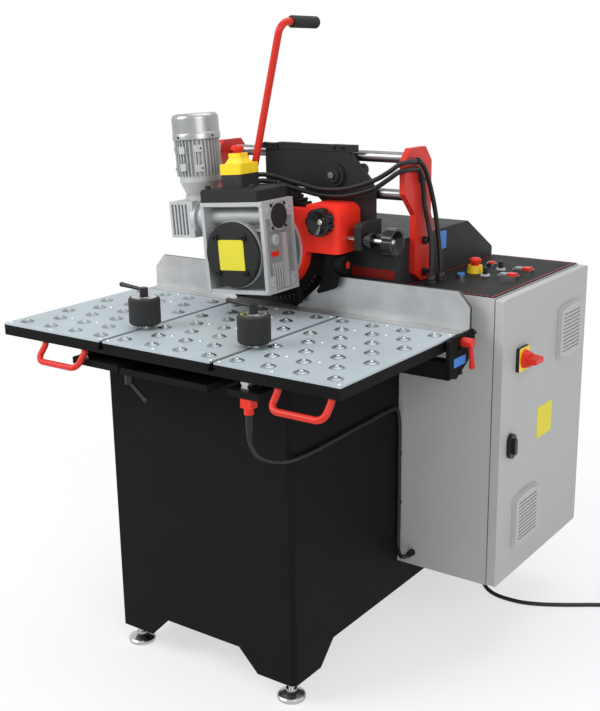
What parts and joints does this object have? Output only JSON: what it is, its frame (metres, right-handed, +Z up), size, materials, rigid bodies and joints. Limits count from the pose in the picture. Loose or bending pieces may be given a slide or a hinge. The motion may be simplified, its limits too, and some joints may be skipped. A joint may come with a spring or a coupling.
{
  "type": "plate edge bevelling machine",
  "caption": "Floor-standing plate edge bevelling machine with a sliding ball table, angle fence, traversing motor-driven cutter head and an electrical cabinet with control panel.",
  "frame": {"origin": "Bottom centre of the machine's bounding box without its mains lead, at floor level.", "axes": "+Z up, +X to the operator's right along the fence, +Y from the operator to the back."},
  "size_m": [1.3169, 1.1787, 1.5425],
  "materials": {
    "black_paint": "satin powder coat",
    "red_paint": "gloss enamel",
    "zinc": "zinc plated, brushed",
    "steel": "ground",
    "cast_alloy": "cast, bead blasted",
    "fence_alloy": "milled",
    "cabinet_paint": "fine textured powder coat",
    "black_plastic": "fine matte",
    "red_plastic": "smooth",
    "yellow_plastic": "smooth",
    "blue_plastic": "smooth",
    "white_plastic": "smooth",
    "rubber": "matte",
    "tool_steel": "black oxide"
  },
  "bodies": {
    "frame": {"base_cabinet": "black_paint", "levelling_feet": "steel", "rail_beams": "black_paint", "guide_rails_and_rods": "steel", "rear_hood": "black_paint", "side_plates": "red_paint", "fence_arms": "black_paint", "cabinet_body": "cabinet_paint", "control_panel": "black_paint", "control_bezels": "steel", "fixed_cables": "rubber", "rail_switch": "red_plastic", "mains_lead": "rubber", "mains_coil": "rubber", "mains_plug": "black_plastic"},
    "table": {"table_frame": "black_paint", "table_panels": "zinc", "ball_units": "steel", "pull_handles": "red_paint", "rail_blocks": "steel"},
    "roller_post_left": {"roller_post_left": "steel"},
    "roller_post_right": {"roller_post_right": "steel"},
    "guide_roller_left": {"guide_roller_left": "rubber"},
    "guide_roller_right": {"guide_roller_right": "rubber"},
    "roller_lever_left": {"roller_lever_left": "black_plastic"},
    "roller_lever_right": {"roller_lever_right": "black_plastic"},
    "table_clamp": {"table_clamp_lever": "black_plastic"},
    "fence": {"fence": "fence_alloy", "fence_brackets": "black_paint"},
    "fence_lever": {"fence_lever": "red_paint"},
    "head": {"carriage_plate": "black_paint", "carriage_bearings": "black_paint", "head_casting": "red_paint", "main_gearbox": "cast_alloy", "gearbox_covers": "black_paint", "small_gearbox": "cast_alloy", "motor": "cast_alloy", "estop_box": "yellow_plastic", "lever_tube": "red_paint", "lever_grip": "rubber", "cutter_guard": "black_paint", "head_cables": "rubber"},
    "cutter": {"cutter": "tool_steel"},
    "motor_rotor": {"motor_rotor": "black_plastic"},
    "front_knob": {"front_knob": "black_plastic"},
    "side_knob": {"side_knob": "black_plastic"},
    "head_estop": {"head_estop_button": "red_plastic"},
    "door": {"cabinet_door": "cabinet_paint", "door_fittings": "cabinet_paint"},
    "isolator": {"isolator_knob": "red_plastic"},
    "door_lock": {"door_lock": "black_plastic"},
    "panel_estop": {"panel_estop_button": "red_plastic"},
    "dial_front": {"dial_knob_front": "black_plastic"},
    "dial_rear": {"dial_knob_rear": "black_plastic"},
    "red_button": {"red_button": "red_plastic"},
    "blue_button": {"blue_button": "blue_plastic"},
    "start_front": {"start_button_front": "white_plastic"},
    "stop_front": {"stop_button_front": "red_plastic"},
    "start_rear": {"start_button_rear": "white_plastic"},
    "stop_rear": {"stop_button_rear": "red_plastic"}
  },
  "joints": [
    {"name": "table_slide", "type": "slide", "parent": "frame", "child": "table", "axis": [0, 1, 0], "range_m": [-0.115, 0]},
    {"name": "roller_post_left_slide", "type": "slide", "parent": "table", "child": "roller_post_left", "axis": [0, 1, 0], "range_m": [-0.1, 0.1]},
    {"name": "guide_roller_left_spin", "type": "hinge", "parent": "roller_post_left", "child": "guide_roller_left", "pos_m": [-0.2255, -0.36725, 0.878], "axis": [0, 0, 1], "continuous": true},
    {"name": "roller_lever_left_turn", "type": "hinge", "parent": "roller_post_left", "child": "roller_lever_left", "pos_m": [-0.2255, -0.36725, 0.921], "axis": [0, 0, 1], "range_deg": [-90, 90]},
    {"name": "roller_post_right_slide", "type": "slide", "parent": "table", "child": "roller_post_right", "axis": [0, 1, 0], "range_m": [-0.1, 0.1]},
    {"name": "guide_roller_right_spin", "type": "hinge", "parent": "roller_post_right", "child": "guide_roller_right", "pos_m": [0.0995, -0.36725, 0.878], "axis": [0, 0, 1], "continuous": true},
    {"name": "roller_lever_right_turn", "type": "hinge", "parent": "roller_post_right", "child": "roller_lever_right", "pos_m": [0.0995, -0.36725, 0.921], "axis": [0, 0, 1], "range_deg": [-90, 90]},
    {"name": "table_clamp_turn", "type": "hinge", "parent": "frame", "child": "table_clamp", "pos_m": [-0.161, -0.49625, 0.756], "axis": [0, 0, 1], "range_deg": [-45, 45]},
    {"name": "fence_adjust", "type": "slide", "parent": "frame", "child": "fence", "axis": [0, 0.788, 0.6157], "range_m": [0, 0.02]},
    {"name": "fence_lever_turn", "type": "hinge", "parent": "frame", "child": "fence_lever", "pos_m": [0.4545, -0.04325, 0.823], "axis": [1, 0, 0], "range_deg": [-40, 40]},
    {"name": "head_traverse", "type": "slide", "parent": "frame", "child": "head", "axis": [1, 0, 0], "range_m": [-0.07, 0], "deforming": ["head_cables"]},
    {"name": "cutter_spin", "type": "hinge", "parent": "head", "child": "cutter", "pos_m": [-0.1125, 0.02275, 0.989], "axis": [0, 1, 0], "continuous": true},
    {"name": "motor_rotor_spin", "type": "hinge", "parent": "head", "child": "motor_rotor", "pos_m": [-0.3067, -0.06325, 1.2636], "axis": [-0.0785, 0, 0.9969], "continuous": true},
    {"name": "front_knob_turn", "type": "hinge", "parent": "head", "child": "front_knob", "pos_m": [0.0595, -0.04625, 1.065], "axis": [0, 1, 0], "range_deg": [-180, 180]},
    {"name": "side_knob_turn", "type": "hinge", "parent": "head", "child": "side_knob", "pos_m": [0.1895, 0.00775, 1.0225], "axis": [1, 0, 0], "range_deg": [-180, 180]},
    {"name": "head_estop_press", "type": "slide", "parent": "head", "child": "head_estop", "axis": [-0.0785, 0, 0.9969], "range_m": [-0.004, 0], "stiffness_N_per_m": 1000, "springref_m": 0.002},
    {"name": "door_swing", "type": "hinge", "parent": "frame", "child": "door", "pos_m": [0.4935, 0.53675, 0.55], "axis": [0, 0, 1], "range_deg": [0, 110]},
    {"name": "isolator_turn", "type": "hinge", "parent": "door", "child": "isolator", "pos_m": [0.5245, 0.14475, 0.749], "axis": [1, 0, 0], "range_deg": [0, 90]},
    {"name": "door_lock_turn", "type": "hinge", "parent": "door", "child": "door_lock", "pos_m": [0.5095, 0.09875, 0.542], "axis": [1, 0, 0], "range_deg": [0, 90]},
    {"name": "panel_estop_press", "type": "slide", "parent": "frame", "child": "panel_estop", "axis": [0, 0, 1], "range_m": [-0.0035, 0], "stiffness_N_per_m": 1000, "springref_m": 0.002},
    {"name": "dial_front_turn", "type": "hinge", "parent": "frame", "child": "dial_front", "pos_m": [0.3445, 0.26275, 0.924], "axis": [0, 0, 1], "range_deg": [-140, 140]},
    {"name": "dial_rear_turn", "type": "hinge", "parent": "frame", "child": "dial_rear", "pos_m": [0.3445, 0.35275, 0.924], "axis": [0, 0, 1], "range_deg": [-140, 140]},
    {"name": "red_button_press", "type": "slide", "parent": "frame", "child": "red_button", "axis": [0, 0, 1], "range_m": [-0.003, 0], "stiffness_N_per_m": 600, "springref_m": 0.0015},
    {"name": "blue_button_press", "type": "slide", "parent": "frame", "child": "blue_button", "axis": [0, 0, 1], "range_m": [-0.003, 0], "stiffness_N_per_m": 600, "springref_m": 0.0015},
    {"name": "start_front_press", "type": "slide", "parent": "frame", "child": "start_front", "axis": [0, 0, 1], "range_m": [-0.003, 0], "stiffness_N_per_m": 600, "springref_m": 0.0015},
    {"name": "stop_front_press", "type": "slide", "parent": "frame", "child": "stop_front", "axis": [0, 0, 1], "range_m": [-0.003, 0], "stiffness_N_per_m": 600, "springref_m": 0.0015},
    {"name": "start_rear_press", "type": "slide", "parent": "frame", "child": "start_rear", "axis": [0, 0, 1], "range_m": [-0.003, 0], "stiffness_N_per_m": 600, "springref_m": 0.0015},
    {"name": "stop_rear_press", "type": "slide", "parent": "frame", "child": "stop_rear", "axis": [0, 0, 1], "range_m": [-0.003, 0], "stiffness_N_per_m": 600, "springref_m": 0.0015}
  ]
}
